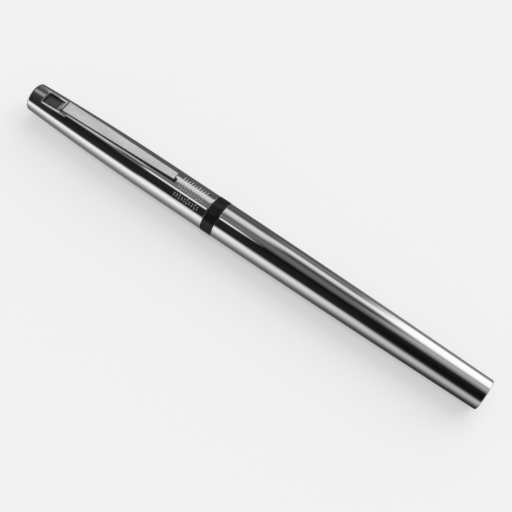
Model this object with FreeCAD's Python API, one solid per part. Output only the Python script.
"""Capped technical pen, modelled lying flat.

Frame: millimetres. +X runs along the pen's axis from the cap's end to the barrel's closed end, and
+Z is up, the side the pocket clip is on. The origin is on the axis, in the middle of the black
collar ring. Every separate piece of the pen is its own STEP. Outlines are (x, radius from the
axis) and are turned about X, unless a comment says otherwise.
"""

import FreeCAD, Part
import math
import os

Vector = FreeCAD.Vector
os.makedirs("parts", exist_ok=True)

# ---------------------------------------------------------------- shared dimensions
COLLAR_R = 5.06            # the fattest place on the pen
COLLAR_HALF = 1.62         # half the collar ring's width
COLLAR_SEAT_R = 4.00       # seat on the grip section
GAP = 0.05                 # shut line each side of the collar ring
MOUTH_X = COLLAR_HALF + GAP            # barrel mouth; the cap mouth is at -MOUTH_X
MOUTH_BEVEL, MOUTH_EDGE_R = 0.12, 4.90  # bevel on both mouths: length, radius at the end face
CAP_END_X = -59.2
BARREL_END_X = 81.4
CAP_WALL = 0.45
BARREL_WALL = 0.50
CAP_EDGE_R = 0.55          # rounding of the end edges
BARREL_EDGE_R = 0.28
CONE_STEP = 4.0            # the outer curves are cut into cones about this long
ROUND_STEPS = 6            # and the rounded end edges into this many

# (x, outer radius): the cap and the barrel both swell gently to the collar
CAP_PROFILE = [
    (CAP_END_X, 3.92), (-55.2, 4.12), (-46.8, 4.45), (-38.5, 4.72),
    (-30.3, 4.89), (-22.0, 4.98), (-12.0, 5.00), (-MOUTH_X, 5.00),
]
BARREL_PROFILE = [
    (MOUTH_X, 5.00), (16.0, 4.98), (29.2, 4.91), (41.0, 4.81),
    (52.0, 4.68), (66.8, 4.48), (77.8, 4.33), (BARREL_END_X, 4.28),
]

CLIP_DX = -0.36            # the clip is drawn in place, then moved this far with its pin
PIN_X, PIN_Z, PIN_R = -50.4, 1.55, 0.40     # clip pivot, before the move
SECTION_FRONT_X = -26.0    # shoulder at the grip's -X end, which the cap's seal lands on
TIP_X = -40.0              # end of the drawing tube


# ---------------------------------------------------------------- helpers
def solid(shape):
    """The single solid inside a shape, or the shape itself."""
    if shape.ShapeType != "Solid":
        shape = shape.Solids[0] if len(shape.Solids) == 1 else shape
    return shape


def lathe(outline):
    """Closed (x, radius) polygon turned about the X axis."""
    points = [Vector(x, 0, r) for x, r in outline]
    wire = Part.makePolygon(points + [points[0]])
    return solid(Part.Face(wire).revolve(Vector(0, 0, 0), Vector(1, 0, 0), 360))


def radius_at(profile, x):
    """Radius at x on a smooth curve through the profile, found by bisection."""
    curve = Part.BSplineCurve()
    curve.interpolate([Vector(px, 0, r) for px, r in profile])
    low, high = curve.FirstParameter, curve.LastParameter
    for _ in range(60):
        middle = (low + high) / 2
        if curve.value(middle).x < x:
            low = middle
        else:
            high = middle
    return curve.value((low + high) / 2).z


def cones(profile, x0, x1, offset=0.0):
    """Outline points on the profile curve from x0 to x1, moved out by offset."""
    count = max(2, int(round(abs(x1 - x0) / CONE_STEP)))
    points = []
    for i in range(count + 1):
        x = x0 + (x1 - x0) * i / count
        points.append((x, radius_at(profile, x) + offset))
    return points


def end_round(end_x, radius, edge_r, inward):
    """Quarter-round from the flat end face out to the side; inward is +1 for +X, -1 for -X."""
    points = []
    for i in range(ROUND_STEPS, -1, -1):
        angle = math.pi / 2 * i / ROUND_STEPS
        points.append((end_x + inward * edge_r * (1 - math.sin(angle)),
                       radius - edge_r + edge_r * math.cos(angle)))
    return points


def cap_bore(x):
    return radius_at(CAP_PROFILE, x) - CAP_WALL


def rod(x0, x1, radius):
    return Part.makeCylinder(radius, x1 - x0, Vector(x0, 0, 0), Vector(1, 0, 0))


def cross_rod(x, z, radius, half_length):
    """Cylinder along Y, centred on the XZ plane."""
    return Part.makeCylinder(radius, 2 * half_length, Vector(x, -half_length, z), Vector(0, 1, 0))


def box(x0, x1, y0, y1, z0, z1):
    return Part.makeBox(x1 - x0, y1 - y0, z1 - z0, Vector(x0, y0, z0))


def o_ring(x, major, minor):
    return Part.makeTorus(major, minor, Vector(x, 0, 0), Vector(1, 0, 0))


def spring(base, axis, length, radius, wire_r, turns, per_turn=14, sides=6):
    """Compression spring standing on base along axis, its wire a chain of flat-sided prisms."""
    pitch = (length - 2 * wire_r) / turns
    to_axis = FreeCAD.Rotation(Vector(0, 0, 1), axis)
    rings = []
    for i in range(turns * per_turn + 1):
        angle = 2 * math.pi * i / per_turn
        out = Vector(math.cos(angle), math.sin(angle), 0)
        along = Vector(-radius * math.sin(angle), radius * math.cos(angle),
                       pitch / (2 * math.pi)).normalize()
        side = along.cross(out)
        centre = out * radius + Vector(0, 0, wire_r + pitch * i / per_turn)
        ring = []
        for k in range(sides):
            around = 2 * math.pi * k / sides
            corner = centre + out * (wire_r * math.cos(around)) + side * (wire_r * math.sin(around))
            ring.append(to_axis.multVec(corner) + base)
        rings.append(ring)

    triangles = []
    for near, far in zip(rings, rings[1:]):
        for k in range(sides):
            m = (k + 1) % sides
            triangles.append((near[k], near[m], far[m]))
            triangles.append((near[k], far[m], far[k]))
    for ring in (rings[0], rings[-1]):
        for k in range(1, sides - 1):
            triangles.append((ring[0], ring[k], ring[k + 1]))
    shell = Part.Shell([Part.Face(Part.makePolygon([p, q, r, p])) for p, q, r in triangles])
    shell.sewShape()
    coil = Part.Solid(shell)
    if coil.Volume < 0:
        coil.reverse()
    return coil


def write(name, shape):
    shape = solid(shape)
    if len(shape.Faces) < 300:      # the springs keep their many small faces
        shape = shape.removeSplitter()
    shape.exportStep("parts/%s.step" % name)


# ---------------------------------------------------------------- cap shell
WINDOW_X0, WINDOW_X1 = -55.35, -47.0    # window that the clip comes out of
WINDOW_HALF_Y = 1.72
WINDOW_CORNER_R = 0.9
WINDOW_Z0, CUT_TOP_Z = 1.5, 7.0
LEDGE_Y0, LEDGE_Y1 = -2.32, -1.0        # flat ledge along the window's -Y edge

MARK_X0, MARK_PITCH, MARK_COUNT = -11.4, 0.80, 10
MARK_ROW_ANGLES = (-18.0, 11.0, 40.0)   # degrees about X, from the top
MARK_WIDTH, MARK_DEPTH = 0.24, 0.09
LONG_MARK_HALF, SHORT_MARK_HALF = 0.62, 0.38


def is_upright(edge):
    start, end = edge.Vertexes[0], edge.Vertexes[1]
    return abs(start.X - end.X) < 1e-6 and abs(start.Y - end.Y) < 1e-6


def window_slot():
    slot = box(WINDOW_X0, WINDOW_X1, -WINDOW_HALF_Y, WINDOW_HALF_Y, WINDOW_Z0, CUT_TOP_Z)
    return slot.makeFillet(WINDOW_CORNER_R, [e for e in slot.Edges if is_upright(e)])


def window_ledge():
    """Cutter whose floor meets the cap's surface at the ledge's outer edge."""
    z0, z1 = (math.sqrt(radius_at(CAP_PROFILE, x) ** 2 - LEDGE_Y0 ** 2)
              for x in (WINDOW_X0, WINDOW_X1))
    corners = [(WINDOW_X0, z0), (WINDOW_X1, z1), (WINDOW_X1, CUT_TOP_Z), (WINDOW_X0, CUT_TOP_Z)]
    points = [Vector(x, LEDGE_Y0, z) for x, z in corners]
    face = Part.Face(Part.makePolygon(points + [points[0]]))
    return face.extrude(Vector(0, LEDGE_Y1 - LEDGE_Y0, 0))


def graduation():
    """Cutters for three rows of short engraved strokes near the mouth."""
    marks = []
    for row, angle in enumerate(MARK_ROW_ANGLES):
        for i in range(MARK_COUNT):
            x = MARK_X0 + i * MARK_PITCH
            half = LONG_MARK_HALF if i % 3 == row % 3 else SHORT_MARK_HALF
            edge_z = math.sqrt(radius_at(CAP_PROFILE, x) ** 2 - half * half)
            corner = Vector(x - MARK_WIDTH / 2, -half, edge_z - MARK_DEPTH)
            mark = Part.makeBox(MARK_WIDTH, 2 * half, 1.0, corner)
            mark.rotate(Vector(0, 0, 0), Vector(1, 0, 0), angle)
            marks.append(mark)
    return Part.makeCompound(marks)


def cap_shell():
    side_x = CAP_END_X + CAP_EDGE_R
    floor_x = CAP_END_X + 0.7
    outer = [(CAP_END_X, 0.0)]
    outer += end_round(CAP_END_X, radius_at(CAP_PROFILE, side_x), CAP_EDGE_R, 1)
    outer += cones(CAP_PROFILE, side_x, -MOUTH_X - MOUTH_BEVEL)[1:]
    outer += [(-MOUTH_X, MOUTH_EDGE_R)]
    inner = cones(CAP_PROFILE, -MOUTH_X, CAP_END_X + 1.3, -CAP_WALL)
    inner += [(floor_x, inner[-1][1] - 0.55), (floor_x, 0.0)]
    cap = lathe(outer + inner)
    cap = cap.cut(window_slot())
    cap = cap.cut(window_ledge())
    return cap.cut(graduation())


# ---------------------------------------------------------------- pocket clip
CLIP_X0, CLIP_X1 = -48.1, -12.8     # flat face of the blade, root to tip
CLIP_Z0, CLIP_Z1 = 5.08, 6.42       # its height at root and tip
CLIP_W0, CLIP_W1 = 3.36, 2.16       # its width at root and tip
CLIP_T = 0.60
CLIP_EYE_R = 0.85                   # underside round the pivot pin
CLIP_EDGE_R = 0.20                  # rounding of the blade's long top edges
TIP_CORNER = 0.25
TONGUE_HALF = 1.46
GROOVE_X, GROOVE_W, GROOVE_D = -48.50, 0.32, 0.52   # shut line across the clip's root


def blade_top(x):
    return CLIP_Z0 + (CLIP_Z1 - CLIP_Z0) / (CLIP_X1 - CLIP_X0) * (x - CLIP_X0)


def blade_under(x):
    return blade_top(x) - CLIP_T


def clip_side():
    """Side view of the bent strip: along the top to the tip, then back underneath."""
    start = (-54.7, 2.95)
    round_x = CLIP_X1 - 0.45
    bump_x0, bump_x1 = CLIP_X1 - 3.1, CLIP_X1 - 1.1
    # (x, z) steps: one point ends a line; two are an arc's middle and end
    steps = [
        [(-50.9, 3.30)],
        [(-49.85, 3.68), (-49.25, 4.45)],
        [(-48.85, 4.93), (CLIP_X0, CLIP_Z0)],
        [(round_x, blade_top(round_x))],
        [(CLIP_X1 - 0.10, CLIP_Z1 - 0.14), (CLIP_X1, CLIP_Z1 - 0.40)],
        [(CLIP_X1, CLIP_Z1 - CLIP_T)],
        [(bump_x1, blade_under(bump_x1))],
        [(CLIP_X1 - 2.0, 5.06), (bump_x0, blade_under(bump_x0))],
        [(-47.75, blade_under(-47.75))],
        [(-48.35, 4.17), (-48.75, 3.72)],
        [(PIN_X + CLIP_EYE_R, PIN_Z)],
        [(PIN_X, PIN_Z - CLIP_EYE_R), (PIN_X - CLIP_EYE_R, PIN_Z)],
        [(-51.45, 2.68)],
        [(-54.7, 2.38)],
        [start],
    ]
    edges = []
    for step in steps:
        points = [Vector(x, 0, z) for x, z in [start] + step]
        edges.append(Part.makeLine(*points) if len(points) == 2 else Part.Arc(*points).toShape())
        start = step[-1]
    return Part.Face(Part.Wire(edges))


def clip_plan():
    """Top view: parallel tongue and straight-sided tapering blade."""
    half = [    # (x, half width)
        (-54.75, TONGUE_HALF - 0.5), (-54.25, TONGUE_HALF), (-49.4, TONGUE_HALF),
        (CLIP_X0 - 0.3, CLIP_W0 / 2), (CLIP_X1 - TIP_CORNER, CLIP_W1 / 2),
        (CLIP_X1, CLIP_W1 / 2 - TIP_CORNER),
    ]
    points = [Vector(x, -y, -1) for x, y in half] + [Vector(x, y, -1) for x, y in half[::-1]]
    return Part.Face(Part.makePolygon(points + [points[0]])).extrude(Vector(0, 0, 9))


def is_blade_top_edge(edge):
    bounds = edge.BoundBox
    return (bounds.XLength > 20 and bounds.ZMin > CLIP_Z0 - 0.05
            and edge.Vertexes[0].Z > CLIP_Z0 - 0.1 and bounds.ZMax > CLIP_Z1 - 0.3)


def pocket_clip():
    face = clip_side()
    face.translate(Vector(0, -3, 0))
    clip = solid(face.extrude(Vector(0, 6, 0)).common(clip_plan()))
    clip = clip.cut(cross_rod(PIN_X, PIN_Z, PIN_R + 0.03, 4))
    clip = solid(clip.cut(box(GROOVE_X - GROOVE_W / 2, GROOVE_X + GROOVE_W / 2, -3, 3,
                              CLIP_Z0 - GROOVE_D, 7)))
    # guards the fillet: if it fails, the blade's edges stay square
    try:
        rounded = clip.makeFillet(CLIP_EDGE_R, [e for e in clip.Edges if is_blade_top_edge(e)])
        if rounded.isValid() and len(rounded.Solids) == 1:
            clip = rounded
    except Exception:
        pass
    clip.translate(Vector(CLIP_DX, 0, 0))
    return clip


# ---------------------------------------------------------------- clip carrier, pin and spring
CARRIER_X0, CARRIER_X1 = CAP_END_X + 0.85, -46.55
SLOT_HALF_Y = 1.62
CLIP_SPRING_X = -53.5
POCKET_HALF_X, POCKET_FLOOR_Z = 1.5, -1.55


def clip_carrier():
    # (x, clearance to the cap's bore)
    fit = [(CARRIER_X0, 0.90), (CARRIER_X0 + 0.85, 0.12), (-55.2, 0.06), (-51.0, 0.06),
           (CARRIER_X1, 0.08)]
    carrier = lathe([(CARRIER_X0, 0)] + [(x, cap_bore(x) - gap) for x, gap in fit]
                    + [(CARRIER_X1, 0)])
    # slot for the clip, then the spring pocket below it
    carrier = carrier.cut(box(-55.6, CARRIER_X1 + 1, -SLOT_HALF_Y, SLOT_HALF_Y, 0.55, 6))
    carrier = carrier.cut(box(CLIP_SPRING_X - POCKET_HALF_X, CLIP_SPRING_X + POCKET_HALF_X,
                              -SLOT_HALF_Y, SLOT_HALF_Y, POCKET_FLOOR_Z, 1.0))
    return carrier.cut(cross_rod(PIN_X + CLIP_DX, PIN_Z, PIN_R + 0.01, 5))


def clip_pivot_pin():
    half = math.sqrt((cap_bore(PIN_X) - 0.12) ** 2 - (PIN_Z + PIN_R) ** 2) - 0.05
    return cross_rod(PIN_X + CLIP_DX, PIN_Z, PIN_R, half)


def clip_spring():
    return spring(base=Vector(CLIP_SPRING_X, 0, POCKET_FLOOR_Z + 0.02), axis=Vector(0, 0, 1),
                  length=3.86, radius=0.85, wire_r=0.14, turns=5)


# ---------------------------------------------------------------- inner cap and sprung seal bell
INNER_X0, INNER_X1 = -46.45, -2.4
INNER_FLOOR_X = -45.75
INNER_MOUTH_R = 4.16
CLUTCH_X0, CLUTCH_X1 = -6.2, -4.4
BELL_R, BELL_WALL = 3.42, 0.32      # bell that closes over the point
BELL_BORE_R = BELL_R - BELL_WALL
BELL_X0, BELL_X1 = -43.6, -26.9     # closed end and open end


def inner_cap():
    groove_x0, groove_x1, groove_r = CLUTCH_X0 - 0.1, CLUTCH_X1 + 0.1, 4.34
    bore_r = BELL_R + 0.08
    return lathe(cones(CAP_PROFILE, INNER_X0, INNER_X1, -CAP_WALL - 0.05) + [
        (INNER_X1, INNER_MOUTH_R), (groove_x1, INNER_MOUTH_R), (groove_x1, groove_r),
        (groove_x0, groove_r), (groove_x0, INNER_MOUTH_R), (-22.5, 4.12), (-25.2, 3.62),
        (-26.4, bore_r), (INNER_FLOOR_X, bore_r), (INNER_FLOOR_X, 0.0), (INNER_X0, 0.0),
    ])


def cap_clutch_ring():
    inner_r, outer_r = 4.07, 4.31
    ring = lathe([(CLUTCH_X0, inner_r), (CLUTCH_X1, inner_r),
                  (CLUTCH_X1, outer_r), (CLUTCH_X0, outer_r)])
    # split, so it can spring open
    return ring.cut(box(CLUTCH_X0 - 1, CLUTCH_X1 + 1, -0.3, 0.3, -5, 0))


def seal_bell():
    bell = lathe([
        (BELL_X0, 0.0), (BELL_X0, BELL_R - 0.5), (BELL_X0 + 0.5, BELL_R), (BELL_X1, BELL_R),
        (BELL_X1, BELL_BORE_R), (BELL_X0 + 0.9, BELL_BORE_R), (BELL_X0 + 0.7, BELL_BORE_R - 0.2),
        (BELL_X0 + 0.7, 0.0),
    ])
    return bell.fuse(rod(-44.3, BELL_X0, 0.75))


def seal_lip():
    x0, x1 = BELL_X1 + 0.02, SECTION_FRONT_X - 0.02
    inner_r = BELL_BORE_R + 0.01
    return lathe([(x0, inner_r), (x0, BELL_R), (-26.2, BELL_R), (x1, BELL_R - 0.12),
                  (x1, BELL_R - 0.20), (-26.3, inner_r)])


def seal_spring():
    return spring(base=Vector(INNER_FLOOR_X + 0.03, 0, 0), axis=Vector(1, 0, 0),
                  length=2.10, radius=1.60, wire_r=0.14, turns=3)


# ---------------------------------------------------------------- grip section, collar ring
GRIP_R0, GRIP_R1 = 3.44, 3.94       # taper radii at SECTION_FRONT_X and GRIP_END_X
GRIP_END_X = -9.0
FINGER_X0, FINGER_PITCH, FINGER_COUNT = -23.6, 1.9, 8   # shallow finger grooves
RIB_X0, RIB_PITCH, RIB_COUNT = 4.2, 1.5, 3              # push-fit ribs that hold the barrel
SPIGOT_R, RIB_R = 3.34, 3.62


def grip_section():
    outline = [(SECTION_FRONT_X, 2.02), (SECTION_FRONT_X, GRIP_R0 - 0.04),
               (SECTION_FRONT_X + 0.04, GRIP_R0), (-24.6, GRIP_R0 + 0.03)]
    taper = (GRIP_R1 - GRIP_R0) / (GRIP_END_X - SECTION_FRONT_X)
    for i in range(FINGER_COUNT):
        x = FINGER_X0 + FINGER_PITCH * i
        r = GRIP_R0 + (x - SECTION_FRONT_X) * taper
        outline += [(x, r), (x + 0.35, r - 0.16), (x + 0.75, r - 0.16), (x + 1.1, r + 0.03)]
    outline += [
        (-8.2, 3.96), (-6.6, 3.98), (-6.3, 3.90), (-4.3, 3.90), (-4.0, 3.98),
        (-COLLAR_HALF, 3.98), (-COLLAR_HALF, COLLAR_SEAT_R), (COLLAR_HALF, COLLAR_SEAT_R),
        (COLLAR_HALF, 4.34), (2.75, 4.34), (2.75, SPIGOT_R),
    ]
    for i in range(RIB_COUNT):
        x = RIB_X0 + RIB_PITCH * i
        outline += [(x, SPIGOT_R), (x + 0.22, RIB_R), (x + 0.38, RIB_R), (x + 0.60, SPIGOT_R)]
    outline += [(9.6, SPIGOT_R), (10.0, 3.10), (10.0, 2.42), (-13.6, 2.42), (-14.0, 2.02)]
    return lathe(outline)


def collar_ring():
    bore_r, bevel = COLLAR_SEAT_R + 0.03, 0.12
    return lathe([
        (-COLLAR_HALF, bore_r), (COLLAR_HALF, bore_r), (COLLAR_HALF, COLLAR_R - bevel),
        (COLLAR_HALF - bevel, COLLAR_R), (-COLLAR_HALF + bevel, COLLAR_R),
        (-COLLAR_HALF, COLLAR_R - bevel),
    ])


# ---------------------------------------------------------------- ink feed
FEED_R, FEED_ROOT_R, FEED_BORE_R = 2.36, 1.55, 0.62
FIN_X0, FIN_PITCH, FIN_GAP, FIN_COUNT = -12.7, 1.05, 0.45, 19   # pressure-balancing fins
FEED_GROOVE_X0, FEED_GROOVE_X1 = 8.0, 8.9


def feed_core():
    outline = [(-13.5, FEED_BORE_R), (-13.5, FEED_R), (FIN_X0, FEED_R)]
    for i in range(FIN_COUNT):
        x = FIN_X0 + FIN_PITCH * i
        outline += [(x, FEED_ROOT_R), (x + FIN_GAP, FEED_ROOT_R), (x + FIN_GAP, FEED_R),
                    (x + FIN_PITCH, FEED_R)]
    # O-ring groove, flange, and spigot into the cartridge
    outline += [
        (FEED_GROOVE_X0, FEED_R), (FEED_GROOVE_X0, 2.00), (FEED_GROOVE_X1, 2.00),
        (FEED_GROOVE_X1, FEED_R), (10.05, FEED_R), (10.05, 3.05), (10.9, 3.05), (10.9, 1.12),
        (15.2, 1.12), (15.9, 0.95), (15.9, FEED_BORE_R),
    ]
    # air slot along the fins
    return lathe(outline).cut(box(-12.6, 7.9, -0.22, 0.22, 1.2, 3.0))


def feed_o_ring():
    return o_ring((FEED_GROOVE_X0 + FEED_GROOVE_X1) / 2, 2.215, 0.19)


# ---------------------------------------------------------------- ink cartridge, seal ball
CARTRIDGE_X0, CARTRIDGE_X1 = 11.05, 52.0
CARTRIDGE_R, CARTRIDGE_BORE_R = 3.28, 2.92
NECK_R, NECK_BORE_R = 1.95, 1.18
BALL_X, BALL_R = 23.0, 1.10


def ink_cartridge():
    end_x = CARTRIDGE_X1
    return lathe([
        (CARTRIDGE_X0, NECK_BORE_R), (CARTRIDGE_X0, NECK_R), (14.6, NECK_R), (15.4, 2.25),
        (17.4, 3.18), (17.9, CARTRIDGE_R), (end_x - 0.6, CARTRIDGE_R), (end_x, 2.9),
        (end_x, 0.0), (end_x - 0.5, 0.0), (end_x - 0.5, 2.6), (end_x - 0.9, CARTRIDGE_BORE_R),
        (18.2, CARTRIDGE_BORE_R), (16.6, 2.0), (16.2, 1.25), (15.9, NECK_BORE_R),
    ])


def cartridge_seal_ball():
    # lies just clear of the cartridge's lowest inside line
    return Part.makeSphere(BALL_R, Vector(BALL_X, 0, -CARTRIDGE_BORE_R + BALL_R + 0.03))


# ---------------------------------------------------------------- drawing point
POINT_R = 1.98
POINT_GROOVE_X0, POINT_GROOVE_X1 = -17.2, -16.6     # O-ring groove
RING_SEAT_X0, RING_SEAT_X1, RING_SEAT_R = -27.45, -26.35, 2.62
TUBE_R, TUBE_BORE_R = 0.51, 0.17
WIRE_R, WIRE_END_X = 0.11, -27.0


def point_body():
    return lathe([
        (-15.1, 1.50), (-15.1, POINT_R), (POINT_GROOVE_X1, POINT_R), (POINT_GROOVE_X1, 1.60),
        (POINT_GROOVE_X0, 1.60), (POINT_GROOVE_X0, POINT_R), (-25.95, POINT_R), (-26.05, POINT_R),
        (-26.05, 2.90), (RING_SEAT_X1, 2.90), (RING_SEAT_X1, RING_SEAT_R),
        (RING_SEAT_X0, RING_SEAT_R), (RING_SEAT_X0, 2.86), (-29.2, 2.62), (-33.6, 1.45),
        (-34.9, 1.12), (-35.3, 0.98), (-35.3, TUBE_R + 0.02), (-30.6, TUBE_R + 0.02),
        (-30.0, 1.48), (-18.0, 1.48), (-17.9, 1.50),
    ])


def line_width_ring():
    x0, x1, bore_r = RING_SEAT_X0 + 0.02, RING_SEAT_X1 - 0.02, RING_SEAT_R + 0.02
    return lathe([(x0, bore_r), (x1, bore_r), (x1, 3.00), (x0, 2.96)])


def point_o_ring():
    return o_ring((POINT_GROOVE_X0 + POINT_GROOVE_X1) / 2, 1.80, 0.17)


def drawing_tube():
    return lathe([(-30.7, TUBE_BORE_R), (-30.7, TUBE_R), (-36.4, TUBE_R), (-36.7, 0.28),
                  (TIP_X + 0.03, 0.25), (TIP_X, 0.22), (TIP_X, TUBE_BORE_R)])


def weight_retainer():
    return lathe([(-15.2, 0.45), (-15.2, 1.48), (-17.7, 1.48), (-17.7, 1.0), (-17.4, 0.45)])


def cleaning_wire():
    return rod(TIP_X + 0.03, WIRE_END_X, WIRE_R)


def drop_weight():
    bore_r, bore_end_x = WIRE_R + 0.011, WIRE_END_X + 0.02
    return lathe([
        (-29.3, bore_r), (-29.3, 0.60), (-28.6, 1.30), (-27.5, 1.40), (-26.5, 1.40),
        (-26.3, 1.15), (-22.0, 1.15), (-21.8, 1.40), (-20.4, 1.40), (-20.1, 1.15),
        (-19.5, 0.5), (-19.5, 0.0), (bore_end_x, 0.0), (bore_end_x, bore_r),
    ])


# ---------------------------------------------------------------- barrel
BUSH_BORE_R = 3.66
BUSH_GROOVE_X0, BUSH_GROOVE_X1 = 9.05, 9.95     # O-ring groove
LINER_X0, LINER_X1 = 12.3, 79.4
LINER_GAP, LINER_WALL, LINER_FLOOR = 0.06, 0.40, 0.6


def barrel_shell():
    side_x = BARREL_END_X - BARREL_EDGE_R
    floor_x, bore_x = BARREL_END_X - 0.8, BARREL_END_X - 1.4
    rounding = end_round(BARREL_END_X, radius_at(BARREL_PROFILE, side_x), BARREL_EDGE_R, -1)
    outer = [(MOUTH_X, MOUTH_EDGE_R)] + cones(BARREL_PROFILE, MOUTH_X + MOUTH_BEVEL, side_x)
    outer += rounding[::-1][1:] + [(BARREL_END_X, 0.0)]
    inner = [(floor_x, 0.0), (floor_x, radius_at(BARREL_PROFILE, bore_x) - BARREL_WALL - 0.5)]
    inner += cones(BARREL_PROFILE, bore_x, MOUTH_X, -BARREL_WALL)
    return lathe(outer + inner)


def barrel_bush():
    return lathe([
        (3.0, BUSH_BORE_R), (3.0, 4.44), (12.0, 4.40), (12.0, 3.45), (10.9, 3.45),
        (10.9, BUSH_BORE_R), (BUSH_GROOVE_X1, BUSH_BORE_R), (BUSH_GROOVE_X1, 3.80),
        (BUSH_GROOVE_X0, 3.80), (BUSH_GROOVE_X0, BUSH_BORE_R),
    ])


def barrel_o_ring():
    return o_ring((BUSH_GROOVE_X0 + BUSH_GROOVE_X1) / 2, 3.58, 0.19)


def barrel_liner():
    floor_x, offset = LINER_X1 - LINER_FLOOR, -BARREL_WALL - LINER_GAP
    return lathe(cones(BARREL_PROFILE, LINER_X0, LINER_X1, offset)
                 + [(LINER_X1, 0.0), (floor_x, 0.0)]
                 + cones(BARREL_PROFILE, floor_x, LINER_X0, offset - LINER_WALL))


# each piece's file is named after its function
for build in (
    cap_shell, pocket_clip, clip_carrier, clip_pivot_pin, clip_spring,
    inner_cap, cap_clutch_ring, seal_bell, seal_lip, seal_spring,
    grip_section, collar_ring, feed_core, feed_o_ring, ink_cartridge, cartridge_seal_ball,
    point_body, line_width_ring, point_o_ring, drawing_tube, weight_retainer,
    cleaning_wire, drop_weight, barrel_shell, barrel_bush, barrel_o_ring, barrel_liner,
):
    write(build.__name__, build())
